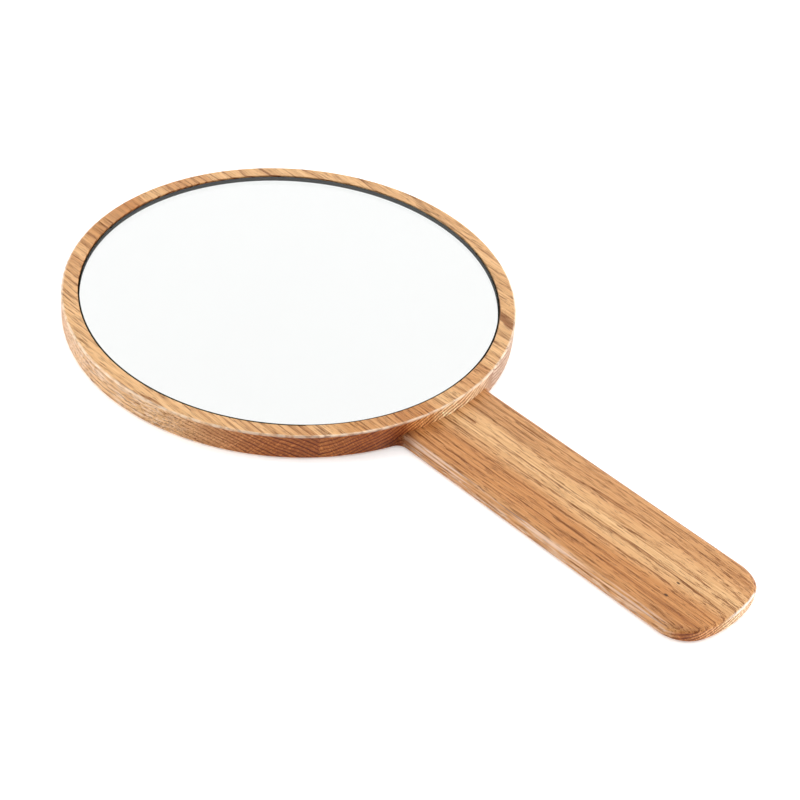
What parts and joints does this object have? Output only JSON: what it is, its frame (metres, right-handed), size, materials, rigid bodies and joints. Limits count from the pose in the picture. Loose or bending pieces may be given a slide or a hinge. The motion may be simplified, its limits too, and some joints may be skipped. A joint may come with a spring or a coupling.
{
  "type": "hand mirror",
  "caption": "Round hand mirror in a flat oak head with a thinner flat oak handle.",
  "frame": {"origin": "centre of the head's flat back, on the surface that the mirror lies on", "axes": "+Z out of the mirror's face, +Y from the handle towards the top of the head, +X to the right seen from the front"},
  "size_m": [0.16, 0.2812, 0.0095],
  "materials": {
    "oak": "sanded and oiled, open grain, satin",
    "glass": "polished faces, seamed edge",
    "silver": "silvered, mirror bright",
    "paint": "matt protective paint",
    "foam": "closed-cell foam tape"
  },
  "bodies": {
    "root": {"outer_left_stave": "oak", "left_stave": "oak", "handle_stave": "oak", "right_stave": "oak", "mirror_glass": "glass", "silver_coat": "silver", "backing_paint": "paint", "foam_tape": "foam"}
  },
  "joints": []
}
